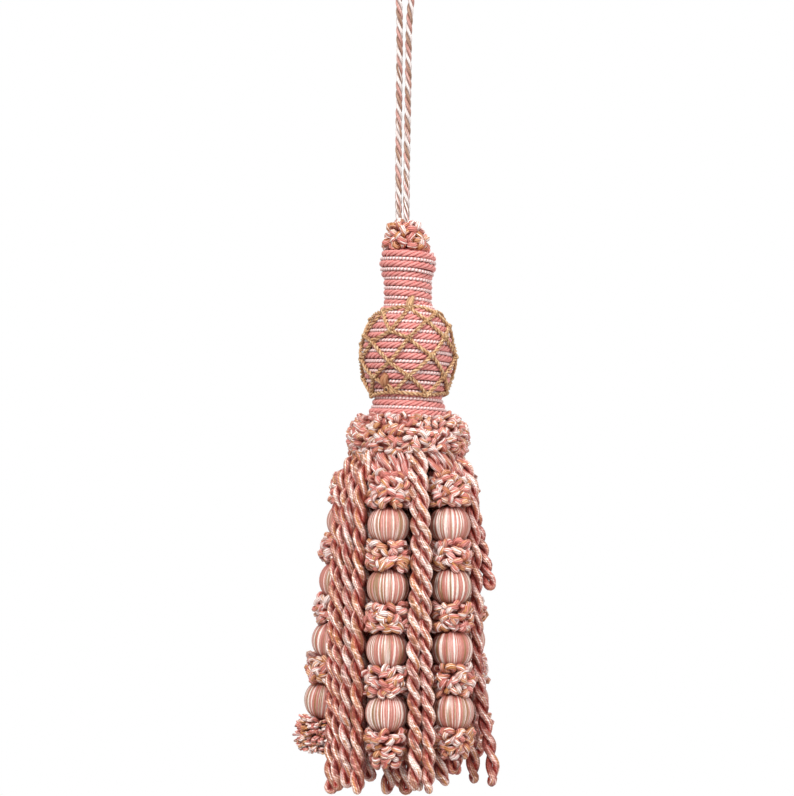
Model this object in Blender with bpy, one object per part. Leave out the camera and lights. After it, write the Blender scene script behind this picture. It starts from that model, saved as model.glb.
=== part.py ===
"""Key tassel: a wound head with a knotted net, a looped ruff and a skirt of bullion cords and covered balls.

It hangs from a loop of twisted cord. Run it with: blender --background --python part.py
The origin is the point inside the top of the loop that bears on a hook, knob or key.
+Z is up, -Y is the front. Lengths in the tables are millimetres and are multiplied by MM.
"""

import math

import bmesh
import bpy
from mathutils import Vector

MM = 0.001
GAP = 0.3 * MM  # clearance that neighbouring pieces keep
MERGE = 1e-6  # vertices nearer than this are one
SHARP_ANGLE = math.radians(50)  # steeper edges are shown sharp

# ---------------------------------------------------------------- hanging loop
LOOP_DIAMETER = 1.8 * MM
LOOP_SAMPLES = 2  # points on the smooth curve for each stretch of the route
LOOP_ROUTE = [  # x, y, z of the cord's centreline, up the left leg and down the right
    (-2.1, 0.0, -88.9), (-2.4, 0.0, -84.0), (-2.5, 0.1, -76.0), (-2.5, 0.1, -66.0),
    (-2.4, 0.0, -55.0), (-2.3, 0.0, -44.0), (-2.2, 0.0, -33.0), (-2.3, 0.0, -24.0),
    (-2.8, 0.0, -16.0), (-3.5, 0.0, -9.0), (-3.8, 0.0, -3.6), (-2.7, 0.0, -0.3),
    (0.0, 0.0, 0.9), (2.7, 0.0, -0.3), (3.8, 0.0, -3.6), (3.3, 0.0, -9.0),
    (1.9, 0.0, -16.0), (0.7, 0.0, -24.0), (0.2, 0.0, -33.0), (0.1, 0.0, -44.0),
    (-0.1, 0.0, -55.0), (-0.3, 0.0, -66.0), (-0.4, -0.1, -76.0), (-0.3, 0.0, -84.0),
    (0.0, 0.0, -88.9),
]

# ---------------------------------------------------------------- wound head
# Each row is depth below the hanging point, radius of the wound surface.
HEAD_STEPS = 20
COLLAR_ROWS = [(89.2, 5.7), (90.6, 7.1), (92.8, 7.7), (95.0, 7.5), (96.5, 6.7)]
NECK_ROWS = [(96.8, 6.4), (104.2, 6.4)]
BALL_ROWS = [(104.5, 6.2), (106.0, 7.6), (108.6, 9.4), (112.2, 11.0), (116.4, 11.8),
             (120.6, 11.7), (124.6, 10.8), (127.6, 9.6), (129.2, 9.0)]
FOOT_ROWS = [(129.5, 9.4), (133.6, 11.3), (136.6, 13.3), (142.6, 13.4)]

# ---------------------------------------------------------------- net on the head's ball
NET_COLUMNS = 7
NET_ROWS = [105.4, 108.4, 112.8, 118.2, 122.8, 127.0, 129.0]  # depth of each row of knots
NET_THICKNESS = 0.8 * MM
NET_CORD_WIDTH = 1.0 * MM
NET_CHORD_SAG = 0.65 * MM  # how far its flat meshes cut in towards the ball between knots
NET_TURN = -24.0  # azimuth of the first column, in degrees

# ---------------------------------------------------------------- looped ruffs round the head
# Each section is a closed ring of radius, depth, lobe depth, from the inner top corner outwards.
TOP_RUFF_LOBES = 9
TOP_RUFF_SECTION = [(3.6, 82.4, 0.0), (4.7, 82.2, 0.3), (5.9, 85.0, 0.6), (6.1, 88.0, 0.6),
                    (5.0, 88.9, 0.2), (3.6, 88.9, 0.0)]
UPPER_RUFF_LOBES = 18
UPPER_RUFF_SECTION = [(12.0, 133.2, 0.0), (14.0, 133.6, 0.4), (15.2, 136.6, 0.4), (13.8, 136.9, 0.0)]
LOWER_RUFF_LOBES = 20
LOWER_RUFF_SECTION = [(15.2, 137.2, 0.0), (16.5, 137.4, 0.4), (16.9, 140.4, 0.5),
                      (16.6, 142.9, 0.5), (15.2, 143.1, 0.0)]

# ---------------------------------------------------------------- hangers of covered balls
HANGER_STEPS = 8
STRING_RADIUS = 0.8 * MM
STRING_TOP = -145.4 * MM
BALL_STEPS = 8
BALL_BORE = 1.2 * MM
BALL_COUNT = 4
COVERED_BALL_ROWS = [(5.0, 2.4), (3.6, 4.6), (0.0, 5.4), (-3.6, 4.6), (-5.0, 2.4)]  # height, radius
BALL_HALF = 5.0 * MM
TUFT_RADIUS = 5.3 * MM
TUFT_END_RADIUS = 4.0 * MM
TUFT_TIP_RADIUS = 2.6 * MM
TUFT_PINCH = 0.86  # every second side of a tuft is drawn in to this share
TOP_TUFT_START = 2.0 * MM
# name, azimuth at the top and bottom, radius at the top and bottom, first ball's place down the string,
# pitch of the balls, tail of string below the last ball's middle
HANGERS = [
    ("left", -97.0, -93.0, 14.3, 23.8, 15.9, 15.8, 13.4),
    ("front_left", -20.0, -17.0, 14.3, 19.6, 16.5, 15.9, 14.9),
    ("front_right", 47.0, 37.0, 14.3, 19.4, 16.5, 15.9, 12.4),
    ("right", 118.0, 117.0, 14.3, 19.0, 16.2, 15.8, 12.6),
    ("back", 191.0, 190.0, 14.3, 19.4, 16.4, 15.8, 13.4),
]

# ---------------------------------------------------------------- bullion fringe
BULLION_RADIUS = 1.55 * MM
BULLION_SIDES = 5
HANGER_CLEARANCE = 5.5 * MM + BULLION_RADIUS + GAP
SETTLE_ROUNDS = 40  # passes in which cords at one level push each other apart
OUTER_BAND = [(13.9, 137.4), (14.9, 137.4), (14.9, 145.0), (13.9, 145.0)]  # radius, depth
INNER_BAND_RADIUS = 13.0 * MM
INNER_BAND_DEPTHS = (143.0, 144.4)
LEVELS = [144.0, 149.0, 158.0, 176.0, 202.0, 231.0]  # depths on a cord's path
LAYER_RADII = {  # radius of a layer of cords at each level
    "outer": [15.2, 16.9, 18.2, 19.6, 21.0, 21.8],
    "short": [14.6, 15.6, 17.6, 21.6, 26.0, 30.0],
    "swung": [15.2, 16.6, 17.8, 18.8, 19.6, 23.6],
    "middle": [11.4, 12.3, 13.0, 14.4, 16.2, 17.8],
    "inner": [6.9, 7.0, 7.3, 8.4, 10.2, 12.0],
    "core": [2.7, 2.8, 3.0, 3.6, 4.6, 5.6],
}
OUTER_LAYERS = ("outer", "short", "swung")
INNER_LAYERS = ("middle", "inner", "core")
BULLIONS = [  # layer, azimuth at the top, azimuth at the bottom, depth of the end
    ("outer", -79, -66, 231.5), ("outer", -67, -56, 230.2), ("outer", -55, -46, 229.0),
    ("outer", -43, -36, 230.2), ("outer", 5, 4, 228.6), ("outer", 15, 13, 229.6),
    ("short", 78, 84, 179.4), ("swung", 64, 74, 229.8),
    ("outer", 142, 142, 230.4), ("outer", 155, 155, 229.2), ("outer", 168, 168, 230.8),
    ("outer", 214, 213, 229.8), ("outer", 228, 228, 229.0), ("outer", 242, 243, 230.4),
    ("middle", -66, -60, 229.2), ("middle", -50, -46, 230.0), ("middle", 14, 9, 229.4),
    ("middle", 77, 74, 229.4), ("middle", 91, 90, 223.6), ("middle", 148, 149, 228.8),
    ("middle", 162, 161, 230.0), ("middle", 221, 221, 229.0), ("middle", 236, 236, 229.6),
    ("inner", -97, -95, 227.2), ("inner", -58, -56, 228.6), ("inner", -20, -26, 231.4),
    ("inner", 10, -3, 231.2), ("inner", 48, 42, 229.4), ("inner", 84, 80, 227.4),
    ("inner", 118, 118, 228.2), ("inner", 155, 155, 229.0), ("inner", 191, 191, 227.0),
    ("inner", 228, 228, 227.8),
    ("core", -60, -35, 231.0), ("core", 30, 30, 229.2), ("core", 120, 120, 227.8),
    ("core", 210, 210, 228.6),
]
END_STRETCH = 5.0  # a cord's last stretch is at least this long

# ---------------------------------------------------------------- materials
PINK = (0.66, 0.27, 0.23, 1.0)
MIXED = (0.62, 0.34, 0.26, 1.0)
STRIPED = (0.70, 0.45, 0.36, 1.0)
GOLD = (0.46, 0.27, 0.11, 1.0)
PALE = (0.78, 0.55, 0.48, 1.0)
YARN_ROUGHNESS = 0.7
SILK_ROUGHNESS = 0.4


def clear_scene():
    for thing in list(bpy.data.objects):
        bpy.data.objects.remove(thing)


def yarn_material(name, colour, roughness=YARN_ROUGHNESS):
    material = bpy.data.materials.new(name)
    material.use_nodes = True
    shader = material.node_tree.nodes["Principled BSDF"]
    shader.inputs["Base Color"].default_value = colour
    shader.inputs["Roughness"].default_value = roughness
    shader.inputs["Metallic"].default_value = 0.0
    return material


def add_object(name, data, material, collection=None):
    thing = bpy.data.objects.new(name, data)
    (collection or bpy.context.scene.collection).objects.link(thing)
    if not data.materials:
        data.materials.append(material)
    return thing


def polar(azimuth, radius, depth):
    """A point at an azimuth in degrees, with 0 at the front (-Y) and 90 at +X; radius and depth in mm."""
    angle = math.radians(azimuth)
    return Vector((radius * math.sin(angle), -radius * math.cos(angle), -depth)) * MM


def interpolate(pairs, at):
    """The value at a position in a rising table of position, value."""
    for (x0, y0), (x1, y1) in zip(pairs, pairs[1:]):
        if at <= x1:
            return y0 + (y1 - y0) * (at - x0) / (x1 - x0)
    return pairs[-1][1]


def finish_mesh(name, bm):
    bmesh.ops.remove_doubles(bm, verts=bm.verts, dist=MERGE)
    bmesh.ops.recalc_face_normals(bm, faces=bm.faces)
    mesh = bpy.data.meshes.new(name)
    bm.to_mesh(mesh)
    bm.free()
    mesh.shade_smooth()
    mesh.set_sharp_from_angle(angle=SHARP_ANGLE)
    return mesh


def spun_mesh(name, outline, steps, closed=False, pinch=1.0):
    """An outline of (radius, height) spun about Z. Every second side is drawn in to the share pinch."""
    bm = bmesh.new()
    verts = [bm.verts.new((radius, 0.0, height)) for radius, height in outline]
    edges = [bm.edges.new(pair) for pair in zip(verts, verts[1:])]
    if closed:
        edges.append(bm.edges.new((verts[-1], verts[0])))
    bmesh.ops.spin(bm, geom=verts + edges, cent=(0, 0, 0), axis=(0, 0, 1), dvec=(0, 0, 0),
                   angle=math.tau, steps=steps, use_merge=True)
    if pinch < 1.0:
        for vert in bm.verts:
            side = round(math.atan2(vert.co.y, vert.co.x) / math.tau * steps)
            if side % 2 and vert.co.xy.length > 1.5 * STRING_RADIUS:
                vert.co.xy *= pinch
    return finish_mesh(name, bm)


def turned(name, rows, material):
    """A solid of revolution from rows of depth, radius, closed by flat ends."""
    outline = [(radius * MM, -depth * MM) for depth, radius in rows]
    outline = [(0.0, outline[0][1]), *outline, (0.0, outline[-1][1])]
    return add_object(name, spun_mesh(name, outline, HEAD_STEPS), material)


def lobed_ring(name, section, lobes, material):
    """A ring whose outer points swell and pinch once for each lobe, as a row of loops does."""
    bm = bmesh.new()
    rings = []
    sides = 2 * lobes
    for side in range(sides):
        azimuth = 360.0 * side / sides
        swell = 1 if side % 2 == 0 else -1
        rings.append([bm.verts.new(polar(azimuth, radius + swell * lobe / 2, depth))
                      for radius, depth, lobe in section])
    for ring, following in zip(rings, rings[1:] + rings[:1]):
        for k in range(len(section)):
            n = (k + 1) % len(section)
            bm.faces.new((ring[k], ring[n], following[n], following[k]))
    return add_object(name, finish_mesh(name, bm), material)


def smooth_route(points, samples):
    """Points on a Catmull-Rom curve through the route's own points."""
    padded = [2 * points[0] - points[1], *points, 2 * points[-1] - points[-2]]
    made = []
    for a, b, c, d in zip(padded, padded[1:], padded[2:], padded[3:]):
        for k in range(samples):
            t = k / samples
            made.append(0.5 * (2 * b + (c - a) * t + (2 * a - 5 * b + 4 * c - d) * t ** 2
                               + (3 * b - a - 3 * c + d) * t ** 3))
    return [*made, points[-1]]


def cord_loop(material):
    curve = bpy.data.curves.new("cord_loop", "CURVE")
    curve.dimensions = "3D"
    curve.bevel_depth = LOOP_DIAMETER / 2
    curve.bevel_resolution = 2
    curve.use_fill_caps = True
    points = smooth_route([Vector(p) * MM for p in LOOP_ROUTE], LOOP_SAMPLES)
    spline = curve.splines.new("POLY")
    spline.points.add(len(points) - 1)
    for slot, point in zip(spline.points, points):
        slot.co = (*point, 1.0)
    return add_object("cord_loop", curve, material)


def ball_net(material):
    """Diamond meshes between rows of knots, in a thin sheet that follows the ball, with a ring each end."""
    bm = bmesh.new()
    profile = [(depth, radius) for depth, radius in BALL_ROWS]
    stand_off = (GAP + NET_THICKNESS / 2 + NET_CHORD_SAG) / MM
    half = 360.0 / NET_COLUMNS / 2

    def knot(row, column):
        depth = NET_ROWS[row]
        slope = interpolate(profile, depth + 0.5) - interpolate(profile, depth - 0.5)
        radius = interpolate(profile, depth) + stand_off * math.hypot(1, slope)
        return bm.verts.new(polar(NET_TURN + half * column, radius, depth))

    last = len(NET_ROWS) - 1
    for row in range(last + 1):
        for k in range(NET_COLUMNS):
            column = 2 * k + row % 2
            top, bottom = knot(max(row - 1, 0), column), knot(min(row + 1, last), column)
            left, right = knot(row, column - 1), knot(row, column + 1)
            bm.faces.new((top, left, bottom, right))
    bmesh.ops.remove_doubles(bm, verts=bm.verts, dist=MERGE)
    bmesh.ops.recalc_face_normals(bm, faces=bm.faces)
    meshes = bm.faces[:]
    bmesh.ops.inset_individual(bm, faces=meshes, thickness=NET_CORD_WIDTH / 2, use_even_offset=True)
    bmesh.ops.delete(bm, geom=meshes, context="FACES")
    net = add_object("ball_net", finish_mesh("ball_net", bm), material)
    sheet = net.modifiers.new("cord thickness", "SOLIDIFY")
    sheet.thickness = NET_THICKNESS
    sheet.offset = 0.0
    return net


def hanger_line(hanger):
    """The top and bottom of a hanger's string."""
    _, top_azimuth, bottom_azimuth, top_radius, bottom_radius, first, pitch, tail = hanger
    length = (first + pitch * (BALL_COUNT - 1) + tail) * MM
    top = polar(top_azimuth, top_radius, -STRING_TOP / MM)
    fall = polar(bottom_azimuth, bottom_radius, (length - STRING_TOP) / MM)
    return top, top + (fall - top).normalized() * length


def tuft_outline(start, end, radii):
    """The outline of one looped tuft on the string, from start down to end."""
    rows = [(STRING_RADIUS, -start)]
    for k, radius in enumerate(radii):
        rows.append((radius, -start - (end - start) * k / (len(radii) - 1)))
    return [*rows, (STRING_RADIUS, -end)]


def hanger_mesh(name, middles, length):
    """The string and its tufts: a tall one on top, one between each two balls, a tapered one below."""
    round_tuft = (TUFT_END_RADIUS, TUFT_RADIUS, TUFT_END_RADIUS)
    clear = BALL_HALF + GAP
    outline = [(0.0, 0.0), (STRING_RADIUS, 0.0)]
    outline += tuft_outline(TOP_TUFT_START, middles[0] - clear, round_tuft)
    for upper, lower in zip(middles, middles[1:]):
        outline += tuft_outline(upper + clear, lower - clear, round_tuft)
    last = tuft_outline(middles[-1] + clear, length, (TUFT_END_RADIUS, TUFT_RADIUS, TUFT_TIP_RADIUS))
    outline += [*last[:-1], (0.0, -length)]
    return spun_mesh(name, outline, HANGER_STEPS, pinch=TUFT_PINCH)


def ball_mesh():
    """A covered ball, turned round its bore."""
    outer = [(radius * MM, height * MM) for height, radius in COVERED_BALL_ROWS]
    outline = [*outer, (BALL_BORE, -BALL_HALF), (BALL_BORE, BALL_HALF)]
    return spun_mesh("covered_ball", outline, BALL_STEPS, closed=True)


def build_hangers(string_material, ball_material):
    covered_ball = ball_mesh()
    for hanger in HANGERS:
        name, first, pitch = hanger[0], hanger[-3] * MM, hanger[-2] * MM
        top, bottom = hanger_line(hanger)
        carrier = bpy.data.objects.new(f"carrier_{name}", None)
        bpy.context.scene.collection.objects.link(carrier)
        carrier.location = top
        carrier.rotation_mode = "QUATERNION"
        carrier.rotation_quaternion = (top - bottom).to_track_quat("Z", "Y")
        middles = [first + pitch * k for k in range(BALL_COUNT)]
        mesh = hanger_mesh(f"hanger_{name}", middles, (top - bottom).length)
        add_object(f"hanger_{name}", mesh, string_material).parent = carrier
        for k, middle in enumerate(middles):
            ball = add_object(f"ball_{name}_{k + 1}", covered_ball, ball_material)
            ball.parent = carrier
            ball.location = (0.0, 0.0, -middle)


def push_apart(point, other, reach, share):
    """Move a point, and the other too where share is a half, until they are reach apart."""
    away = point - other
    short = reach - away.length
    if short > 0:
        point += away.normalized() * short * share
        other -= away.normalized() * short * (1 - share)


def settle(points, hangers_here):
    """Nestle the cords of one level side by side and clear of the hangers."""
    for _ in range(SETTLE_ROUNDS):
        for k, point in enumerate(points):
            for other in points[:k]:
                push_apart(point, other, 2 * BULLION_RADIUS, 0.5)
        for point in points:
            for middle in hangers_here:
                push_apart(point, middle.copy(), HANGER_CLEARANCE, 1.0)
    return points


def bullion_paths():
    """Each cord's centreline, from its place in the heading down to its end, beside what hangs there."""
    lines = [hanger_line(hanger) for hanger in HANGERS]
    levels = []
    for k, depth in enumerate(LEVELS):
        share = (depth - LEVELS[0]) / (LEVELS[-1] - LEVELS[0])
        points = [polar(top + (bottom - top) * share, LAYER_RADII[layer][k], depth)
                  for layer, top, bottom, _ in BULLIONS]
        hangers_here = [top.lerp(bottom, (-depth * MM - top.z) / (bottom.z - top.z))
                        for top, bottom in lines]
        levels.append(settle(points, hangers_here) if k else points)
    paths = []
    for path, (*_, end) in zip(zip(*levels), BULLIONS):
        passed = sum(depth < end - END_STRETCH for depth in LEVELS)
        paths.append(list(path[:passed + 1]))
        paths[-1][-1].z = -end * MM
    return paths


def tube_mesh(name, path, radius, sides):
    """A closed tube of level rings, which suits a cord that hangs down."""
    bm = bmesh.new()
    rings = []
    for point in path:
        rings.append([bm.verts.new(point + Vector((math.cos(a), math.sin(a), 0)) * radius)
                      for a in (math.tau * k / sides for k in range(sides))])
    for upper, lower in zip(rings, rings[1:]):
        for k in range(sides):
            n = (k + 1) % sides
            bm.faces.new((upper[k], upper[n], lower[n], lower[k]))
    bm.faces.new(rings[0])
    bm.faces.new(reversed(rings[-1]))
    return finish_mesh(name, bm)


def comb(name, band_outline, layers, material, closed=True):
    """A fringe: a round heading with a bullion cord hanging from it for each row of the table."""
    band = add_object(name, spun_mesh(name, band_outline, HEAD_STEPS, closed=closed), material)
    strands = bpy.data.collections.new(f"{name}_strands")
    bpy.context.scene.collection.children.link(strands)
    for k, (bullion, path) in enumerate(zip(BULLIONS, bullion_paths())):
        if bullion[0] in layers:
            mesh = tube_mesh(f"{name}_{k + 1}", path, BULLION_RADIUS, BULLION_SIDES)
            strand = add_object(f"{name}_{k + 1}", mesh, material, strands)
            strand.hide_render = True
            strand.display_type = "WIRE"
    join = band.modifiers.new("strands", "BOOLEAN")
    join.operation = "UNION"
    join.operand_type = "COLLECTION"
    join.collection = strands
    join.solver = "EXACT"
    return band


def main():
    clear_scene()
    pink = yarn_material("pink wound cord", PINK)
    mixed = yarn_material("mixed bullion yarn", MIXED)
    striped = yarn_material("striped silk thread", STRIPED, SILK_ROUGHNESS)
    gold = yarn_material("gold net cord", GOLD)
    pale = yarn_material("pale twisted cord", PALE)

    cord_loop(pale)
    turned("head_collar", COLLAR_ROWS, pink)
    turned("head_neck", NECK_ROWS, pink)
    turned("head_ball", BALL_ROWS, pink)
    turned("head_foot", FOOT_ROWS, pink)
    ball_net(gold)
    lobed_ring("top_ruff", TOP_RUFF_SECTION, TOP_RUFF_LOBES, mixed)
    lobed_ring("upper_ruff", UPPER_RUFF_SECTION, UPPER_RUFF_LOBES, mixed)
    lobed_ring("lower_ruff", LOWER_RUFF_SECTION, LOWER_RUFF_LOBES, mixed)
    build_hangers(mixed, striped)
    comb("outer_fringe", [(r * MM, -d * MM) for r, d in OUTER_BAND], OUTER_LAYERS, mixed)
    top, bottom = (-depth * MM for depth in INNER_BAND_DEPTHS)
    inner_band = [(0.0, top), (INNER_BAND_RADIUS, top), (INNER_BAND_RADIUS, bottom), (0.0, bottom)]
    comb("inner_fringe", inner_band, INNER_LAYERS, mixed, closed=False)


main()
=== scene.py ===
# %% [markdown]
# # A key tassel
# Its head is a turned mould wound with cord and caught in a knotted net. It hangs from a loop of twisted
# cord, and under it hang bullion cords and strings of covered balls with ruffs of looped yarn between
# them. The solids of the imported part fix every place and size, and this script dresses them. Almost all
# that shows is yarn, so one helper that lays a round strand of yarns along a line makes the cords, the
# loops and the net.

# %% Load the fixed frame
import math
from types import SimpleNamespace

import bpy
import numpy as np
from mathutils import Matrix, Vector


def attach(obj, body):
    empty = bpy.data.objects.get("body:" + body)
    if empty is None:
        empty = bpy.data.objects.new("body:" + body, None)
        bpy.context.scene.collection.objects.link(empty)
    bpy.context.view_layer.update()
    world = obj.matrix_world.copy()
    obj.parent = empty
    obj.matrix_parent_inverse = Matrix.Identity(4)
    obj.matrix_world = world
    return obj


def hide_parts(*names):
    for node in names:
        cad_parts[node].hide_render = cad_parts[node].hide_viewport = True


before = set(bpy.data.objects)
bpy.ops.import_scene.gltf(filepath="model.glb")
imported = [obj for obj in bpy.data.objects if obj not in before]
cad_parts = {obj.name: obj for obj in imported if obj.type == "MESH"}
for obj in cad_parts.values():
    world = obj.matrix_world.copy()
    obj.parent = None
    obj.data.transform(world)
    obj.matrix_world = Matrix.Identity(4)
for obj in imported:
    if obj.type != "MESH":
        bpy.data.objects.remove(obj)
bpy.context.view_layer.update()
MM = 0.001
print("frame loaded:", len(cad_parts), "nodes")

# %% [markdown]
# ## Helpers
# Operators act on all that is selected, so a piece made with them starts from an empty selection. The
# others build node trees: an input of a node holds a value or is linked to another node's output. An
# underscore in a name stands for a space, and a text is the web code of a colour.


# %% Helpers
def nothing_selected():
    bpy.ops.object.select_all(action="DESELECT")


def new_object(name, data):
    made = bpy.data.objects.new(name, data)
    bpy.context.scene.collection.objects.link(made)
    return made


def dye(code):
    """A linear colour from a web colour code."""
    parts = [int(code[k:k + 2], 16) / 255 for k in (1, 3, 5)]
    return tuple(c / 12.92 if c <= 0.04045 else ((c + 0.055) / 1.055) ** 2.4 for c in parts) + (1,)


def feed(tree, sockets, inputs):
    """Gives each named or numbered socket its value, or links another node's output to it."""
    for name, given in inputs.items():
        socket = sockets[name.replace("_", " ") if isinstance(name, str) else name]
        if isinstance(given, bpy.types.NodeSocket):
            tree.links.new(given, socket)
        else:
            socket.default_value = dye(given) if isinstance(given, str) else given


def add_node(tree, kind, **inputs):
    node = tree.nodes.new(f"ShaderNode{kind}")
    feed(tree, node.inputs, inputs)
    return node


def mix_node(tree, share, first, second, blend="MIX"):
    """A Mix node set to colours, whose own sockets are numbers 0, 6 and 7."""
    node = add_node(tree, "Mix")
    node.data_type = "RGBA"
    node.blend_type = blend
    feed(tree, node.inputs, {0: share, 6: first, 7: second})
    return node.outputs[2]


def new_finish(name):
    finish = bpy.data.materials.new(name)
    finish.use_nodes = True
    return finish


def set_shader(finish, **inputs):
    feed(finish.node_tree, finish.node_tree.nodes["Principled BSDF"].inputs, inputs)


print("helpers ready")

# %% [markdown]
# ## Camera, floor and light
# The tassel is seen from half a metre away and from just under its ruffs, so rings on the head curve up.
# The floor lies far below, because the tassel hangs. Plain light comes from all round, and soft lamps
# give the silk its gloss.

# %% Camera
SIGHT_DISTANCE = 0.52
SIGHT_HEIGHT = -0.150
SIGHT_ASIDE = -0.0029
VIEW_MIDDLE = -0.1285
VIEW_SPAN = 0.2109

eye = bpy.data.cameras.new("camera")
camera = new_object("camera", eye)
bpy.context.scene.camera = camera
eye.sensor_width = 36
eye.lens = eye.sensor_width * SIGHT_DISTANCE / VIEW_SPAN
tilt = math.atan2(VIEW_MIDDLE - SIGHT_HEIGHT, SIGHT_DISTANCE)
camera.location = (SIGHT_ASIDE, -SIGHT_DISTANCE, SIGHT_HEIGHT)
camera.rotation_euler = (math.pi / 2 + tilt, 0, 0)
eye.clip_start = 0.01
eye.clip_end = 50
print("lens", round(eye.lens, 1), "mm")

# %% Floor
FLOOR_DROP = 1.5
FLOOR_RADIUS = 6
nothing_selected()
bpy.ops.mesh.primitive_circle_add(vertices=96, radius=FLOOR_RADIUS, fill_type="NGON",
                                  location=(0, 0, -FLOOR_DROP))
floor = bpy.context.object
floor.name = "floor"
floor_paint = new_finish("pale floor")
set_shader(floor_paint, Base_Color=(0.9, 0.9, 0.9, 1), Roughness=0.9)
floor.data.materials.append(floor_paint)
print("floor", FLOOR_DROP, "m below the hanging point")

# %% Light
# The world looks white but lights the tassel less strongly, so that the lamps give it its modelling.
world = bpy.data.worlds.new("studio")
bpy.context.scene.world = world
world.use_nodes = True
sky = world.node_tree
sky.nodes.clear()
seen = add_node(sky, "Background", Color=(1, 1, 1, 1), Strength=1)
fill = add_node(sky, "Background", Color=(1, 0.96, 0.95, 1), Strength=0.62)
path = add_node(sky, "LightPath")
pick = add_node(sky, "MixShader")
feed(sky, pick.inputs, {0: path.outputs["Is Camera Ray"], 1: fill.outputs[0], 2: seen.outputs[0]})
add_node(sky, "OutputWorld", Surface=pick.outputs[0])
bpy.context.scene.view_settings.view_transform = "Standard"

# name, place, size across, watts
LAMPS = [
    ("key lamp", (-0.45, -0.95, 0.75), 0.4, 18.5),
    ("side lamp", (0.9, -0.7, 0.15), 0.6, 7),
    ("back lamp", (0.3, 1, 0.7), 0.8, 9),
]
TASSEL_MIDDLE = Vector((0, 0, -0.14))
for name, place, across, watts in LAMPS:
    data = bpy.data.lights.new(name, "AREA")
    data.shape = "DISK"
    data.size = across
    data.energy = watts
    lamp = new_object(name, data)
    lamp.location = place
    lamp.rotation_euler = (TASSEL_MIDDLE - lamp.location).to_track_quat("-Z", "Y").to_euler()
print(len(LAMPS), "lamps")

# %% [markdown]
# ## The dyed yarn
# Every yarn is salmon, tan or ivory, and a bundle mixes them at random. A strand of them is modelled as
# one tube, to save faces. Its UV map named lay holds the length along it in millimetres and, across it,
# the number of the yarn. The node group looks up two soft noise fields by that map and adds a random
# draw for each yarn and stitch, and the sum picks the dye. So colours change from yarn to yarn and
# slowly along them. An attribute on the points holds the share of ivory, the share of tan, and a share of
# painted shade, which darkens the colour where strands meet and inside the bundle, because little light
# gets in there.

# %% Colours
SALMON = "#E88C80"
TAN = "#D29452"
IVORY = "#FBF0EA"
ROSE = "#F6A8A0"
GIMP_WHITE = "#FFF8F5"
PALE_GOLD = "#ECCB9E"
PINK_SHEEN = "#F0B8A8"
# The colour that painted shade multiplies into a yarn, a dark red for the shadow inside a bundle.
SHADOW = (0.44, 0.03, 0.01, 1)
DYES = (SALMON, TAN, IVORY)
BULLION_DYES = ("#E48A7E", "#CE8C4E", "#F4E6DE")
LOOP_DYES = ("#D09488", "#A67E64", "#F6EFEC")
SILK_DYES = ("#C87A6E", "#946B3E", "#F4E8E0")
GOLDS = ("#B27F55", "#D6A674", PALE_GOLD)
print("three dyes and the head's own")

# %% Node group: dyed yarn
FIELD_EDGE = 0.16  # how soft the border between two dyes is
FIELD_SPREAD = 3  # noise keeps near its middle, so it is spread to fill the range
# Crease and Shadow are colours of painted shade; the second vector holds each point's share of painted
# shade.
GROUP_INPUTS = {
    "Vector": dict.fromkeys(("Lay", "Mixing and shade"), (0, 0, 0)),
    "Color": dict.fromkeys(("Salmon", "Tan", "Ivory", "Crease", "Shadow"), SHADOW),
    "Float": {"Threads": 2, "Thread slant": 0, "Streak": 0.1, "Band": 0.6, "Glint": 0.2,
              "Unevenness": 0.25, "Crease depth": 0.6},
}
GROUP_OUTPUTS = {"Colour": "Color", "Height": "Float", "Roughness": "Float"}

group = bpy.data.node_groups.new("dyed yarn", "ShaderNodeTree")
for kind, defaults in GROUP_INPUTS.items():
    for name, default in defaults.items():
        socket = group.interface.new_socket(name, in_out="INPUT", socket_type=f"NodeSocket{kind}")
        socket.default_value = default
for name, kind in GROUP_OUTPUTS.items():
    group.interface.new_socket(name, in_out="OUTPUT", socket_type=f"NodeSocket{kind}")
given = group.nodes.new("NodeGroupInput").outputs
along, across, _ = add_node(group, "SeparateXYZ", Vector=given["Lay"]).outputs
# The third value is the share of painted shade on the point.
ivory_share, tan_share, painted_shade = add_node(group, "SeparateXYZ", Vector=given["Mixing and shade"]).outputs


def value(operation, *values):
    """The result of a Math node."""
    node = add_node(group, "Math")
    node.operation = operation
    feed(group, node.inputs, dict(enumerate(values)))
    return node.outputs[0]


def clamped(output):
    """Holds a Math node's result between 0 and 1."""
    output.node.use_clamp = True
    return output


def times(first, second):
    return value("MULTIPLY", first, second)


def times_plus(first, second, more):
    return value("MULTIPLY_ADD", first, second, more)


def noise(x, y, z=0):
    at = add_node(group, "CombineXYZ", X=x, Y=y, Z=z).outputs[0]
    return add_node(group, "TexNoise", Vector=at, Scale=1, Detail=2).outputs[0]


def draw(x, y):
    """A random number for each pair of whole numbers."""
    at = add_node(group, "CombineXYZ", X=value("FLOOR", x), Y=value("FLOOR", y)).outputs[0]
    node = add_node(group, "TexWhiteNoise", Vector=at)
    node.noise_dimensions = "2D"
    return node.outputs["Value"]


def ridge(turn):
    """A rounded ridge on every whole turn, between two creases."""
    wave = value("ABSOLUTE", value("SINE", times(turn, math.pi)))
    return value("POWER", wave, 0.7)


def chosen(field, share):
    """Whether a yarn takes a dye: its field lies in the top share of the range, with a soft edge."""
    level = times_plus(share, 1 + FIELD_EDGE, field)
    return clamped(times_plus(level, 1 / FIELD_EDGE, -1 / FIELD_EDGE))


# The threads that are twisted into a yarn, and a draw for each stitch of them.
turn = times_plus(along, given["Thread slant"], times(across, given["Threads"]))
thread_ridge = ridge(turn)
yarn_ridge = ridge(across)
stitch = draw(turn, times(across, 0.6))
yarn_draw = draw(across, across)

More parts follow.
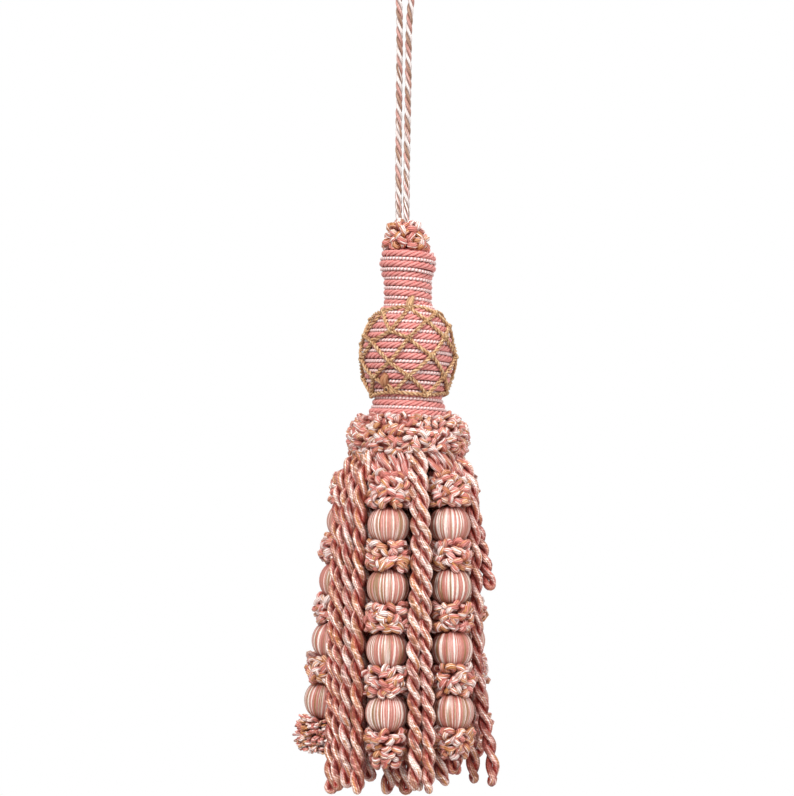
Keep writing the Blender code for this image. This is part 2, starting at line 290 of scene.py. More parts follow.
# The dye changes softly from yarn to yarn and slowly along them.
run_on = times(along, given["Streak"])
beside = times(across, given["Band"])
own = times_plus(yarn_draw, 0.28, times(stitch, 0.18))
fields = []
for third in (0, 7.3):
    field = clamped(times_plus(noise(run_on, beside, third), FIELD_SPREAD, 0.5 - FIELD_SPREAD / 2))
    mixed = times_plus(field, 0.54, own)
    fields.append(clamped(times_plus(mixed, 1.7, -0.35)))
is_ivory = chosen(fields[0], ivory_share)
left = value("SUBTRACT", 1.001, ivory_share)
is_tan = chosen(fields[1], clamped(value("DIVIDE", tan_share, left)))
colour = mix_node(group, is_tan, given["Salmon"], given["Tan"])
colour = mix_node(group, is_ivory, colour, given["Ivory"])
# Painted highlight: the tops of some threads are mixed towards ivory, as a glint.
painted_glint = times(value("POWER", times(thread_ridge, stitch), 2), given["Glint"])
colour = mix_node(group, painted_glint, colour, given["Ivory"])

# Single fibres, and how light each yarn and stitch comes out.
fibre = noise(times(along, 1.3), times(across, 2.2))
uneven = value("SUBTRACT", value("ADD", yarn_draw, stitch), 1)
lightness = times(times_plus(uneven, given["Unevenness"], 1), times_plus(fibre, 0.8, 0.6))
scale = add_node(group, "VectorMath")
scale.operation = "SCALE"
feed(group, scale.inputs, {0: colour, "Scale": lightness})

# Painted shade: dark creases between yarns and threads, and the painted shadow inside the bundle.
crease_shade = value("SUBTRACT", 1, times(yarn_ridge, thread_ridge))
crease_shaded = mix_node(group, times(crease_shade, given["Crease depth"]), scale.outputs[0], given["Crease"])
height = times_plus(thread_ridge, 0.8, times(yarn_ridge, 0.6))
result = group.nodes.new("NodeGroupOutput").inputs
feed(group, result, {"Colour": mix_node(group, painted_shade, crease_shaded, given["Shadow"], blend="MULTIPLY"),
                     "Height": times_plus(fibre, 0.5, height), "Roughness": times_plus(fibre, 0.35, 0.28)})
print("group:", group.name)


# %% Materials
def yarn_material(name, dyes, relief, sheen_tint, **settings):
    """A material with the group's own settings; the shader's sockets hold what is the same all over."""
    finish = new_finish(name)
    tree = finish.node_tree
    lay = add_node(tree, "UVMap")
    lay.uv_map = "lay"
    mixing_and_shade = add_node(tree, "Attribute")
    mixing_and_shade.attribute_name = "mixing_and_shade"
    yarn = add_node(tree, "Group")
    yarn.node_tree = group
    feed(tree, yarn.inputs, {"Lay": lay.outputs["UV"], "Mixing and shade": mixing_and_shade.outputs["Vector"],
                             **dict(zip(("Salmon", "Tan", "Ivory"), dyes)), **settings})
    bump = add_node(tree, "Bump", Strength=0.8, Distance=relief * MM, Height=yarn.outputs["Height"])
    set_shader(finish, Base_Color=yarn.outputs["Colour"], Roughness=yarn.outputs["Roughness"],
               Normal=bump.outputs["Normal"], Sheen_Weight=0.12, Sheen_Tint=sheen_tint,
               Sheen_Roughness=0.4, Specular_IOR_Level=0.5)
    return finish


def cloth_finish(name, kind, scale, dark, light, relief, roughness):
    """A plain material whose one texture gives its two colours and its relief, and that texture."""
    finish = new_finish(name)
    tree = finish.node_tree
    place = add_node(tree, "TexCoord")
    texture = add_node(tree, kind, Vector=place.outputs["Object"], Scale=scale)
    share = texture.outputs["Fac"]
    bump = add_node(tree, "Bump", Distance=relief * MM, Height=share)
    set_shader(finish, Base_Color=mix_node(tree, share, dark, light), Normal=bump.outputs["Normal"],
               Roughness=roughness)
    return finish, texture


# Each material's Crease colour is the painted shade between its yarns and threads, and Shadow the colour of
# its painted shadow inside the bundle.
bullion_finish = yarn_material(
    "bullion yarn", BULLION_DYES, 0.2, PINK_SHEEN, Crease="#8A2E1A", Threads=0.5, Thread_slant=1.5,
    Streak=0.13, Band=1.5, Glint=0.5, Unevenness=0.8, Crease_depth=0.6)
ruff_finish = yarn_material(
    "looped yarn", DYES, 0.2, PINK_SHEEN, Crease="#8A2E1A", Threads=0.9, Thread_slant=0.7,
    Streak=0.16, Band=1, Glint=0.45, Unevenness=0.45, Crease_depth=0.65)
silk_finish = yarn_material(
    "covering silk", SILK_DYES, 0.06, PINK_SHEEN, Crease="#7C4A30", Threads=2, Streak=0.04,
    Band=0.9, Glint=0.4, Unevenness=0.2, Crease_depth=0.4)
loop_finish = yarn_material(
    "loop cord yarn", LOOP_DYES, 0.08, IVORY, Crease="#86604E", Threads=1, Unevenness=0.2,
    Crease_depth=0.6, Shadow=(0.30, 0.20, 0.18, 1))
rose_finish = yarn_material(
    "rose wound cord", (ROSE, ROSE, IVORY), 0.08, PINK_SHEEN, Crease="#B84A48", Threads=3,
    Unevenness=0.15, Crease_depth=0.5, Glint=0.3)
gimp_finish = yarn_material(
    "white gimp", (ROSE, TAN, GIMP_WHITE), 0.05, GIMP_WHITE, Crease="#D8A09C", Threads=2,
    Unevenness=0.06, Crease_depth=0.3)
net_finish = yarn_material(
    "gold net cord", GOLDS, 0.06, PALE_GOLD, Crease="#6E4424", Threads=2,
    Unevenness=0.2, Crease_depth=0.5, Glint=0.6)
wrap_finish, wrap_turns = cloth_finish(
    "mould wrapping", "TexWave", 900, "#A84E4C", "#CE7A74", relief=0.1, roughness=0.7)
wrap_turns.bands_direction = "Z"
wrap_turns.inputs["Distortion"].default_value = 1.5
# The heading tape's dark red colours are painted shade for the gaps between the bullion cords.
shade_tape_finish, _ = cloth_finish(
    "heading tape in painted shade", "TexChecker", 1600, "#6E3226", "#8A4A3C", relief=0.15, roughness=0.8)
print(len(bpy.data.materials), "materials")

# %% [markdown]
# ## Laying a strand
# A cord is a round bundle of yarns that follows a line. A bevelled curve can't turn its yarns as it goes
# or colour them one by one. So the helper sets a ring of points round each point of the line, carries
# the ring along without twisting, and then adds the maker's twist. Twisting two or three strands round
# each other is the same step done twice.


# %% Lines
UP = np.array([0.0, 0.0, 1.0])


def unit(vectors):
    """The same directions with a length of one."""
    return vectors / np.linalg.norm(vectors, axis=-1, keepdims=True)


def run_of(points):
    """How far along the line each point is."""
    return np.concatenate([[0], np.cumsum(np.linalg.norm(np.diff(points, axis=0), axis=1))])


def respace(points, step):
    """The same line with points about step apart, all in millimetres."""
    run = run_of(points)
    at = np.linspace(0, run[-1], max(2, round(run[-1] / step) + 1))
    return np.stack([np.interp(at, run, points[:, k]) for k in range(3)], axis=1)


def smooth_line(points, step):
    """A Catmull-Rom curve through the points."""
    p = np.asarray(points, dtype=float)
    p = np.vstack([2 * p[0] - p[1], p, 2 * p[-1] - p[-2]])
    t = np.linspace(0, 1, 24, endpoint=False)[:, None]
    runs = [0.5 * (2 * b + (c - a) * t + (2 * a - 5 * b + 4 * c - d) * t ** 2
                   + (3 * b - a - 3 * c + d) * t ** 3)
            for a, b, c, d in zip(p, p[1:], p[2:], p[3:])]
    return respace(np.vstack([*runs, p[-2]]), step)


def carried_frame(points):
    """Two crosswise directions at each point, carried along the line without twisting."""
    tangent = unit(np.gradient(points, axis=0))
    side = np.empty_like(points)
    side[0] = unit(np.cross(tangent[0], (0.31, 1, 0.17)))
    for k in range(1, len(points)):
        side[k] = unit(side[k - 1] - tangent[k] * side[k - 1].dot(tangent[k]))
    return side, np.cross(tangent, side)


def rings_round(points, offset, turns_per_mm, starts, uneven=0):
    """A ring of points round each point of a line, which turns as it goes along it."""
    side, up = carried_frame(points)
    angle = (math.tau * turns_per_mm * run_of(points) + uneven)[:, None, None] + np.array(starts)[:, None]
    offset = np.broadcast_to(offset, len(points))[:, None, None]
    return points[:, None] + offset * (np.cos(angle) * side[:, None] + np.sin(angle) * up[:, None])


def lay_round(points, offset, turns_per_mm, start=0, uneven=0):
    """A line that winds round another; the offset and an extra turn may change along it."""
    return rings_round(points, offset, turns_per_mm, [start], uneven)[:, 0]


# %% Strands and the meshes made of them
def strand(points, radius, yarns, sides=8, twist=0, ivory=0.32, tan=0.22):
    """A tube round a line, with the number of yarns round it, their turns each millimetre and their
    shares of colour."""
    rings = rings_round(points, radius, twist, math.tau * np.arange(sides) / sides)
    return SimpleNamespace(rings=rings, run=run_of(points), yarns=yarns, ivory=ivory, tan=tan,
                           painted_shade=np.zeros(rings.shape[:2]))


def shade_by_distance(made, distance, dark_at, light_at):
    """Paints shade on each point from its distance to the middle of the bundle, where little light gets in.
    """
    made.painted_shade = np.clip((light_at - distance) / (light_at - dark_at), 0, 1)
    return made


def off_line(made, line):
    """How far each point of a strand is from the line's point beside it."""
    return np.linalg.norm(made.rings - line[:, None], axis=2)


def write_maps(mesh, lay, mixing_and_shade):
    """Writes the lay map on the corners, and the dye shares and the painted shade on the points."""
    mesh.uv_layers.new(name="lay").data.foreach_set("uv", np.array(lay, dtype=np.float32).ravel())
    shares = mesh.attributes.new("mixing_and_shade", "FLOAT_VECTOR", "POINT")
    shares.data.foreach_set("vector", np.array(mixing_and_shade, dtype=np.float32).ravel())


def strands_mesh(name, strands):
    """One mesh of many strands; each strand's yarns have numbers of their own."""
    points, faces, lay, mixing_and_shade = [], [], [], []
    base, first_yarn = 0, 0
    for s in strands:
        rows, count = s.rings.shape[:2]
        points.append(s.rings.reshape(-1, 3))
        shares = np.broadcast_to((s.ivory, s.tan), (rows * count, 2))
        mixing_and_shade.append(np.column_stack([shares, s.painted_shade.ravel()]))
        row, side = (grid.ravel() for grid in np.meshgrid(range(rows - 1), range(count), indexing="ij"))
        here, beside = base + row * count + side, base + row * count + (side + 1) % count
        faces += np.stack([here, beside, beside + count, here + count], 1).tolist()
        left, right = first_yarn + s.yarns * side / count, first_yarn + s.yarns * (side + 1) / count
        run, next_run = s.run[row], s.run[row + 1]
        lay.append(np.stack([run, left, run, right, next_run, right, next_run, left], 1).reshape(-1, 2))
        last = base + (rows - 1) * count
        faces += [[base + k for k in reversed(range(count))], [last + k for k in range(count)]]
        for end in (0, s.run[-1]):
            lay.append(np.tile([end, first_yarn + 0.5], (count, 1)))
        base += rows * count
        first_yarn += s.yarns + 1
    mesh = bpy.data.meshes.new(name)
    mesh.from_pydata((np.vstack(points) * MM).tolist(), [], faces)
    write_maps(mesh, np.vstack(lay), np.vstack(mixing_and_shade))
    mesh.shade_smooth()
    return mesh


def dress(piece, material, slot, *nodes):
    """Every piece rides on the one body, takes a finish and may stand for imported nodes."""
    piece.data.materials.clear()
    piece.data.materials.append(material)
    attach(piece, "root")
    if nodes:
        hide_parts(*nodes)
    return piece


def yarn_piece(name, strands, material, slot, *nodes):
    """A piece made of strands, dressed and in the scene."""
    return dress(new_object(name, strands_mesh(name, strands)), material, slot, *nodes)


def random_shares(chance, salmon=(0.3, 0.6), ivory=(0.4, 0.7)):
    """Shares of ivory and tan for one bundle, because no two bundles are mixed alike."""
    left = 1 - chance.uniform(*salmon)
    ivory_share = left * chance.uniform(*ivory)
    return {"ivory": ivory_share, "tan": left - ivory_share}


print("strand helpers ready")

# %% [markdown]
# ## The hanging loop
# One cord of three strands, pale pink, tan and ivory. It rises out of the top ruff, runs up in two
# legs and turns over whatever holds the tassel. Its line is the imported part's own.

# %% Hanging loop
LOOP_ROUTE = [
    (-2.1, 0, -88.9), (-2.4, 0, -84), (-2.5, 0.1, -76), (-2.5, 0.1, -66), (-2.4, 0, -55), (-2.3, 0, -44),
    (-2.2, 0, -33), (-2.3, 0, -24), (-2.8, 0, -16), (-3.5, 0, -9), (-3.8, 0, -3.6), (-2.7, 0, -0.3),
    (0, 0, 0.9), (2.7, 0, -0.3), (3.8, 0, -3.6), (3.3, 0, -9), (1.9, 0, -16), (0.7, 0, -24), (0.2, 0, -33),
    (0.1, 0, -44), (-0.1, 0, -55), (-0.3, 0, -66), (-0.4, -0.1, -76), (-0.3, 0, -84), (0, 0, -88.9),
]
LOOP_PITCH = 7.4
LOOP_STRAND_RADIUS = 0.47
LOOP_STRAND_OFFSET = 0.46

loop_line = smooth_line(LOOP_ROUTE, 0.45)
loop_strands = []
for number, (ivory, tan) in enumerate([(0.15, 0.1), (0.95, 0.03), (0.2, 0.75)]):
    line = lay_round(loop_line, LOOP_STRAND_OFFSET, -1 / LOOP_PITCH, math.tau * number / 3)
    ply = strand(line, LOOP_STRAND_RADIUS, 7, twist=0.02, ivory=ivory, tan=tan)
    # Painted shade where the three strands meet, in the loop cord's own greyer shadow colour.
    loop_strands.append(shade_by_distance(ply, off_line(ply, loop_line), 0.45, 0.95))
loop_piece = yarn_piece("hanging_loop", loop_strands, loop_finish, "loop_cord", "cord_loop")

# %% [markdown]
# ## The wound head
# A rose cord of four strands and a fine white gimp are wound round a turned mould side by side. The
# winding is one long screw line over the mould's outline, so its turns fall to the right on the front.
# Under it lies the mould's own wrapping, a ring that is extruded and scaled down the outline.

# %% The head's outline
HEAD_PARTS = {  # depth below the hanging point, and radius of the wrapping under the cord
    "collar": [(89, 4.4), (90, 5.7), (91.4, 6.25), (93.2, 6.4), (95, 6.1), (96.4, 5.3)],
    "neck": [(96.4, 5.2), (104, 5.2)],
    "ball": [(104, 5.2), (105, 5.9), (106.3, 7.1), (108.4, 8.5), (110.8, 9.6), (113.4, 10.4),
             (116.2, 10.85), (118.8, 10.9), (121.6, 10.5), (124.2, 9.8), (126.4, 8.8), (128.4, 7.8)],
    "foot": [(128.4, 7.8), (129.4, 8.15), (131.4, 8.8), (133.4, 9.7), (135.4, 10.8)],
}
FORM_SIDES = 64


def spun_form(name, rows):
    """A ring extruded and scaled down an outline, then closed at both ends."""
    nothing_selected()
    (depth, radius), *others = rows
    bpy.ops.mesh.primitive_circle_add(vertices=FORM_SIDES, radius=radius * MM, fill_type="NGON",
                                      location=(0, 0, -depth * MM))
    form = bpy.context.object
    form.name = name
    bpy.ops.object.transform_apply(location=True)
    bpy.ops.object.mode_set(mode="EDIT")
    bpy.ops.mesh.select_all(action="SELECT")
    for next_depth, next_radius in others:
        bpy.ops.mesh.extrude_region_move(TRANSFORM_OT_translate={"value": (0, 0, (depth - next_depth) * MM)})
        share = next_radius / radius
        bpy.ops.transform.resize(value=(share, share, 1), center_override=(0, 0, 0))
        depth, radius = next_depth, next_radius
    bpy.ops.mesh.select_all(action="SELECT")
    bpy.ops.mesh.normals_make_consistent(inside=False)
    bpy.ops.object.mode_set(mode="OBJECT")
    form.data.shade_smooth()
    form.data.set_sharp_from_angle(angle=math.radians(60))
    return form


# %% The wrapping under the cord
WRAP_INSET = 0.35
for part, rows in HEAD_PARTS.items():
    form = spun_form(f"{part}_mould", [(depth, radius - WRAP_INSET) for depth, radius in rows])
    dress(form, wrap_finish, "wound_cord", f"head_{part}")
print(len(HEAD_PARTS), "wrapped moulds")

# %% The screw line of the winding
WIND_PITCH = 2.62
USUAL_RADIUS = 9  # the winding's, to space its points
head_rows = [HEAD_PARTS["collar"][0], *(row for rows in HEAD_PARTS.values() for row in rows[1:])]
outline = respace(np.array([(radius, 0, -depth) for depth, radius in head_rows]), 0.1)
outline_run = run_of(outline)
outline_away = unit(np.cross(np.gradient(outline, axis=0), (0, 1, 0)))


def winding(first, last, drop, stand_off, step):
    """The screw line from turn first to turn last; drop shifts it down and stand_off lifts it off."""
    turns = np.arange(first, last, step / (math.tau * USUAL_RADIUS))
    at = WIND_PITCH * turns + drop
    lifted = outline + stand_off * outline_away
    radius, _, height = (np.interp(at, outline_run, column) for column in lifted.T)
    angle = math.tau * turns
    return respace(np.stack([radius * np.sin(angle), -radius * np.cos(angle), height], axis=1), step)


# %% Rose cord and white gimp
ROSE_RADIUS = 0.93
ROSE_STAND_OFF = 0.35
ROSE_PITCH = 6.8
ROSE_LOBES = 4
ROSE_FURROW = 0.38
LOBE_SIDES = 5
GIMP_RADIUS = 0.44
GIMP_STAND_OFF = 0.75
GIMP_DROP = 1.36
GIMP_SIDES = 6
GIMP_NECK = 0.74
GIMP_SWELL = 0.34
BEAD_STEPS = 4
GIMP_STEP = 0.93 / BEAD_STEPS
# The strongest painted shade, in the rose cord's furrows and between the gimp's beads.
STRONGEST_PAINTED_SHADE = 0.85
WOUND_DEPTHS = (89.4, 96.4, 104, 128.4, 134.6)  # where each part of the head begins, and the end


def scale_round(made, line, scale):
    """Moves a strand's points in or out from its line."""
    made.rings = line[:, None] + (made.rings - line[:, None]) * scale


def rose_cord(line):
    """Four strands twisted so tightly that they read as one cord with four ridges."""
    sides = ROSE_LOBES * LOBE_SIDES
    cord = strand(line, ROSE_RADIUS, 12, sides=sides, twist=-1 / ROSE_PITCH, ivory=0, tan=0)
    lobes = np.abs(np.sin(math.pi * np.arange(sides) / LOBE_SIDES)) ** 0.6
    scale_round(cord, line, (1 - ROSE_FURROW + ROSE_FURROW * lobes)[None, :, None])
    # Painted shade in the furrows between the four strands.
    cord.painted_shade = np.broadcast_to(STRONGEST_PAINTED_SHADE * (1 - lobes), cord.painted_shade.shape)
    return cord


def white_gimp(line):
    """A fine core wrapped with thread, which beads up at every turn of the wrapping."""
    gimp = strand(line, GIMP_RADIUS, 6, sides=GIMP_SIDES, ivory=1, tan=0)
    slant = np.round(np.arange(GIMP_SIDES) * BEAD_STEPS / GIMP_SIDES)
    bead = np.abs(np.sin(math.pi * (np.arange(len(line))[:, None] + slant) / BEAD_STEPS))
    scale_round(gimp, line, (GIMP_NECK + GIMP_SWELL * np.sqrt(bead))[..., None])
    # Painted shade in the necks between the beads.
    gimp.painted_shade = STRONGEST_PAINTED_SHADE * (1 - bead) ** 0.7
    return gimp


part_ends = np.interp(WOUND_DEPTHS, -outline[:, 2], outline_run) / WIND_PITCH
for part, first, last in zip(HEAD_PARTS, part_ends, part_ends[1:]):
    rope = rose_cord(winding(first, last, 0, ROSE_STAND_OFF, 0.6))
    yarn_piece(f"{part}_rose_cord", [rope], rose_finish, "wound_cord", f"head_{part}")
    gimp = white_gimp(winding(first, last, GIMP_DROP, GIMP_STAND_OFF, GIMP_STEP))
    yarn_piece(f"{part}_white_gimp", [gimp], gimp_finish, "wound_cord", f"head_{part}")
print("head wound in", round(part_ends[-1] - part_ends[0], 1), "turns")

# %% [markdown]
# ## The net
# Gold cord is knotted in diamonds over the ball and drawn in by a ring of cord at the top and bottom.
# Each cord between two knots is two strands twisted together, not quite even, and a little slack. Each
# knot is a short coil.

# %% Net
NET_COLUMNS = 7
NET_ROWS = [105, 109.2, 112.7, 118, 123, 127.6]
NET_TURN = 2.2
NET_SAG = 3
NET_DROP = 1.7
NET_DROP_AT = -24
NET_DROP_SPREAD = 20
NET_LEAN = 1.6
NET_HEM_WAVE = 0.45
NET_STRAND = 0.3024
NET_PITCH = 2.6
NET_PROUD = 0.42
KNOT_PROUD = 0.6
KNOT_TURNS = 1.9
END_PROUD = 0.55
LAST_ROW = len(NET_ROWS) - 1
chance = np.random.default_rng(33)


def polar(azimuth, radius, depth):
    """A point in millimetres; azimuth 0 is the front and 90 the right."""
    angle = math.radians(azimuth)
    return np.array([radius * math.sin(angle), -radius * math.cos(angle), -depth])


def on_head(azimuth, depth, proud):
    """A point that stands proud of the rose cord."""
    outline_radius = np.interp(depth, -outline[:, 2], outline[:, 0])
    return polar(azimuth, outline_radius + ROSE_STAND_OFF + ROSE_RADIUS + proud, depth)


def short_way(degrees):
    """The same turn, taken the short way round."""
    return (degrees + 180) % 360 - 180


knots = {}
for row, row_depth in enumerate(NET_ROWS):
    for column in range(row % 2, 2 * NET_COLUMNS, 2):
        azimuth = NET_TURN + 180 / NET_COLUMNS * column + chance.uniform(-2, 2)
        aside = math.sin(math.radians(azimuth))
        depth = row_depth + NET_SAG * max(0, 1 - row / 3) * aside ** 4
        if row == LAST_ROW:
            depth += NET_HEM_WAVE * math.sin(math.radians(3 * azimuth))
        elif row > 0:
            depth += NET_DROP * math.exp(-(short_way(azimuth - NET_DROP_AT) / NET_DROP_SPREAD) ** 2)
            depth += chance.uniform(-0.3, 0.3) - NET_LEAN * max(0, 1 - row / 4) * aside
        knots[row, column] = (azimuth, depth)


def net_cord(start, end, slack):
    """Two twisted strands that follow the ball from one knot to the next."""
    points = []
    for share in np.linspace(0, 1, 9):
        depth = start[1] + (end[1] - start[1]) * share + slack * math.sin(math.pi * share)
        points.append(on_head(start[0] + short_way(end[0] - start[0]) * share, depth, NET_PROUD))
    line = smooth_line(points, 0.32)
    made = []
    for k in range(2):
        wound = lay_round(line, NET_STRAND * 0.95, 1 / NET_PITCH, math.pi * k)
        ply = strand(wound, NET_STRAND, 5, sides=6, twist=-1 / NET_PITCH, ivory=0.35, tan=0.4)
        # Painted shade where the two strands meet.
        made.append(shade_by_distance(ply, off_line(ply, line), 0.1, 0.45))
    return made


def net_knot(azimuth, depth, size):
    """A short tight coil that stands a little proud."""
    lean = chance.uniform(-0.6, 0.6)
    out = polar(azimuth, 1, 0)
    axis = np.cross(out, UP) * math.cos(lean) + UP * math.sin(lean)
    t = np.linspace(0, 1, 26)[:, None]
    angle = math.tau * KNOT_TURNS * t
    coil = (out * np.cos(angle) + np.cross(axis, out) * np.sin(angle)) * size * 0.55
    line = on_head(azimuth, depth, KNOT_PROUD) + axis * (t - 0.5) * size * 1.5 + coil
    return strand(line, 0.36, 6, sides=6, twist=0.4, ivory=0.35, tan=0.4)


def loose_end(places, radius):
    """A short fat end of the net's cord that lies on the head through the places."""
    line = smooth_line([on_head(*place, END_PROUD) for place in places], 0.3)
    body = radius * np.sin(np.linspace(0.5, math.pi - 0.5, len(line))) ** 0.7
    return strand(line, body, 9, twist=0.03, ivory=0.15, tan=0.45)


net_strands = []
for (row, column), knot in knots.items():
    for aside in (-1, 1):
        below = knots.get((row + 1, (column + aside) % (2 * NET_COLUMNS)))
        if below:
            net_strands += net_cord(knot, below, chance.uniform(-0.25, 0.35))
    if row in (0, LAST_ROW):
        beside = knots[row, (column + 2) % (2 * NET_COLUMNS)]
        net_strands += net_cord(knot, beside, chance.uniform(-0.1, 0.1) - (0.5 if row == 0 else 0))
    net_strands.append(net_knot(*knot, chance.uniform(0.75, 1)))

# The last column of each tie end is how much painted shade it gets.
TIE_ENDS = [  # places as azimuth and depth, radius, how dark
    ([(2, 105.4), (5, 103.9), (11, 102)], 0.8, 0),
    ([(0, 105.2), (2, 103.6), (6, 102.3)], 0.75, 0.1),
    ([(-36.5, 125.8), (-34.5, 124.2), (-29, 122.6)], 0.85, 0.5),
    ([(-31, 125.6), (-30.5, 124), (-27.5, 122.8)], 0.75, 0.4),
    ([(-33, 125), (-29, 126.6), (-34, 127.9)], 0.36, 0.3),
    ([(-29, 125.2), (-24, 126.2), (-20, 127.8)], 0.36, 0.1),
    ([(-38, 127), (-32, 126), (-27, 127.6)], 0.34, 0.2),
]
for places, radius, dark in TIE_ENDS:
    net_strands.append(loose_end(places, radius))
    # Painted shade added to the end.
    net_strands[-1].painted_shade += dark
yarn_piece("knotted_net", net_strands, net_finish, "net_cord", "ball_net")
print(len(knots), "knots in the net")

# %% [markdown]
# ## Loops of yarn
# Every ruff is made of small loops: a bundle of yarns goes out, turns back on itself and is bound at
# its root. Loops in a tier point outwards, and the tiers above and below lean up and down. Each loop
# has its own turn, length and colours.

# %% One loop, and a ruff of them
PETAL_YARNS = 9
THIN_PETAL = 0.52
THIN_PETAL_YARNS = 3
LEAN_PER_SWIRL = 0.045


def petal(root, out, lean, reach, width, fat, chance):
    """A loop of yarns from root along out; lean turns its plane about that direction."""
    out = unit(out)
    level = unit(np.cross(out, UP))
    across = level * math.cos(lean) + np.cross(level, out) * math.sin(lean)
    bend = max(width / 2 - fat, fat * 0.75)
    length = max(reach - fat - bend, 0.3)
    halfway = root + out * length * 0.5
    crown = [root + out * (length + bend * math.cos(a)) + across * bend * math.sin(a)
             for a in np.linspace(-math.pi / 2, math.pi / 2, 5)]
    line = smooth_line([root - across * bend * 0.35, halfway - across * bend * 0.95, *crown,
                        halfway + across * bend * 0.95, root + across * bend * 0.35], 0.66)
    half_thick = fat * (0.72 + 0.28 * np.sin(np.linspace(0, math.pi, len(line))))
    yarns = PETAL_YARNS if fat > THIN_PETAL else THIN_PETAL_YARNS
    made = strand(line, half_thick, yarns, sides=7, twist=chance.uniform(-0.04, 0.04),
                  **random_shares(chance, salmon=(0.05, 0.6), ivory=(0.3, 0.85)))
    # Painted shade where little light reaches: the root, the eye of the loop and the side that looks
    # inwards.
    risen = (made.rings - root) @ out
    shade_by_distance(made, risen, reach * 0.05, reach * 0.75)
    eye = np.clip(1 - np.abs((made.rings - root) @ across) / (0.55 * fat), 0, 1)
    inward = ((line[:, None] - made.rings) @ out) / half_thick[:, None]
    edge = np.clip((inward + 0.5) / 1.3, 0, 0.85)
    made.painted_shade = np.maximum.reduce([0.9 * made.painted_shade, 0.8 * eye * (risen < length + bend * 0.4), edge])
    return made


def petal_tier(centre, axis, count, start, root_radius, reach, rise, width, fat, chance, tumble, swirl):
    """Loops set round an axis; they lean up or down by rise, and each tumbles and swirls its own way."""
    first = unit(np.cross(axis, (0, 1, 0)))
    second = np.cross(axis, first)
    made = []
    for k in range(count):
        angle = math.tau * (k + start) / count + chance.uniform(-0.12, 0.12)
        tip = math.radians(rise + chance.uniform(-tumble, tumble))
        turned = angle + math.radians(chance.uniform(-swirl, swirl))
        level = first * math.cos(turned) + second * math.sin(turned)
        root = centre + (first * math.cos(angle) + second * math.sin(angle)) * root_radius
        length = (reach - root_radius) * chance.uniform(0.82, 1.15)
        lean = chance.uniform(-LEAN_PER_SWIRL, LEAN_PER_SWIRL) * swirl
        made.append(petal(root, level * math.cos(tip) + axis * math.sin(tip), lean, length,
                          width * chance.uniform(0.9, 1.15), fat * chance.uniform(0.9, 1.1), chance))
    return made


# %% Top ruff
chance = np.random.default_rng(44)
TOP_LOOP = {"width": 2.7, "fat": 0.88, "tumble": 25, "swirl": 30}
# depth, number of loops, root radius, reach, rise
TOP_TIERS = [(83.7, 9, 1.6, 4.6, 46), (84.6, 12, 2.2, 5.6, 26), (85.7, 14, 2.8, 6.2, 10),
             (86.8, 15, 3.2, 6.4, 0), (87.9, 15, 3.4, 6.4, -10)]
top_ruff = []
for depth, count, root_radius, reach, rise in TOP_TIERS:
    centre = np.array([-0.6, 0, -depth])
    top_ruff += petal_tier(centre, UP, count, chance.uniform(), root_radius, reach, rise, chance=chance,
                           **TOP_LOOP)
yarn_piece("top_ruff_loops", top_ruff, ruff_finish, "looped_yarn", "top_ruff")
print(len(top_ruff), "loops in the top ruff")

# %% Skirt ruffs
BED_DROP = 0.4
BED_INSET = 3.6


def ruff_bed(depth, radius, chance):
    """A fat strand round the heading, which the loops are rooted in."""
    ring = np.array([polar(a, radius, depth) for a in np.linspace(0, 360, 121)])
    made = strand(ring, 1.5, 24, sides=10, twist=0.06, **random_shares(chance))
    # Painted shade, as the bed lies under the loops.
    made.painted_shade += 0.6
    return made


# depth, number of loops, root radius, reach, rise, width, half thickness, tumble, swirl
UPPER_TIERS = [(134.3, 40, 10.9, 13.7, 20, 2.3, 0.62, 26, 30), (135, 46, 11.8, 14.6, 14, 2.4, 0.64, 26, 30),
               (135.8, 50, 12.6, 15.5, 8, 2.5, 0.66, 26, 30), (136.6, 52, 13, 16.1, 2, 2.5, 0.66, 26, 30)]
LOWER_TIERS = [(137.5, 50, 13.1, 16.3, 6, 2.7, 0.72, 24, 28), (138.5, 50, 13.1, 16.5, 4, 2.9, 0.75, 24, 28),
               (139.5, 50, 13.1, 16.6, 0, 2.9, 0.75, 24, 28), (140.5, 50, 13.1, 16.5, -4, 2.9, 0.75, 24, 28),
               (141.4, 48, 13, 16.3, -8, 2.8, 0.72, 24, 28), (142.1, 44, 12.6, 15.9, -18, 2.6, 0.68, 16, 24)]
chance = np.random.default_rng(45)
for name, node, tiers in (("upper_ruff_loops", "upper_ruff", UPPER_TIERS),
                          ("lower_ruff_loops", "lower_ruff", LOWER_TIERS)):
    loops = [ruff_bed(row[0] + BED_DROP, row[3] - BED_INSET, chance) for row in tiers]
    for depth, count, *sizes, tumble, swirl in tiers:
        loops += petal_tier(-depth * UP, UP, count, 0.3, *sizes, chance, tumble, swirl)
    yarn_piece(name, loops, ruff_finish, "looped_yarn", node)
    print(len(loops), "loops in", name)

# %% [markdown]
# ## Hangers and covered balls
# Each hanger is a string that carries four balls, with a ruff of loops above, between and below them. A
# ball is modelled once from a sphere: its poles are sunk towards the bore, and every second line of
# points is drawn in a little, because the thread lies in upright bands. Each copy has its own mesh and
# its own run of colours.

# %% Places of the hangers
STRING_TOP = 145.4
BALL_COUNT = 4
BALL_RADIUS = 5.45
BALL_HALF = 5
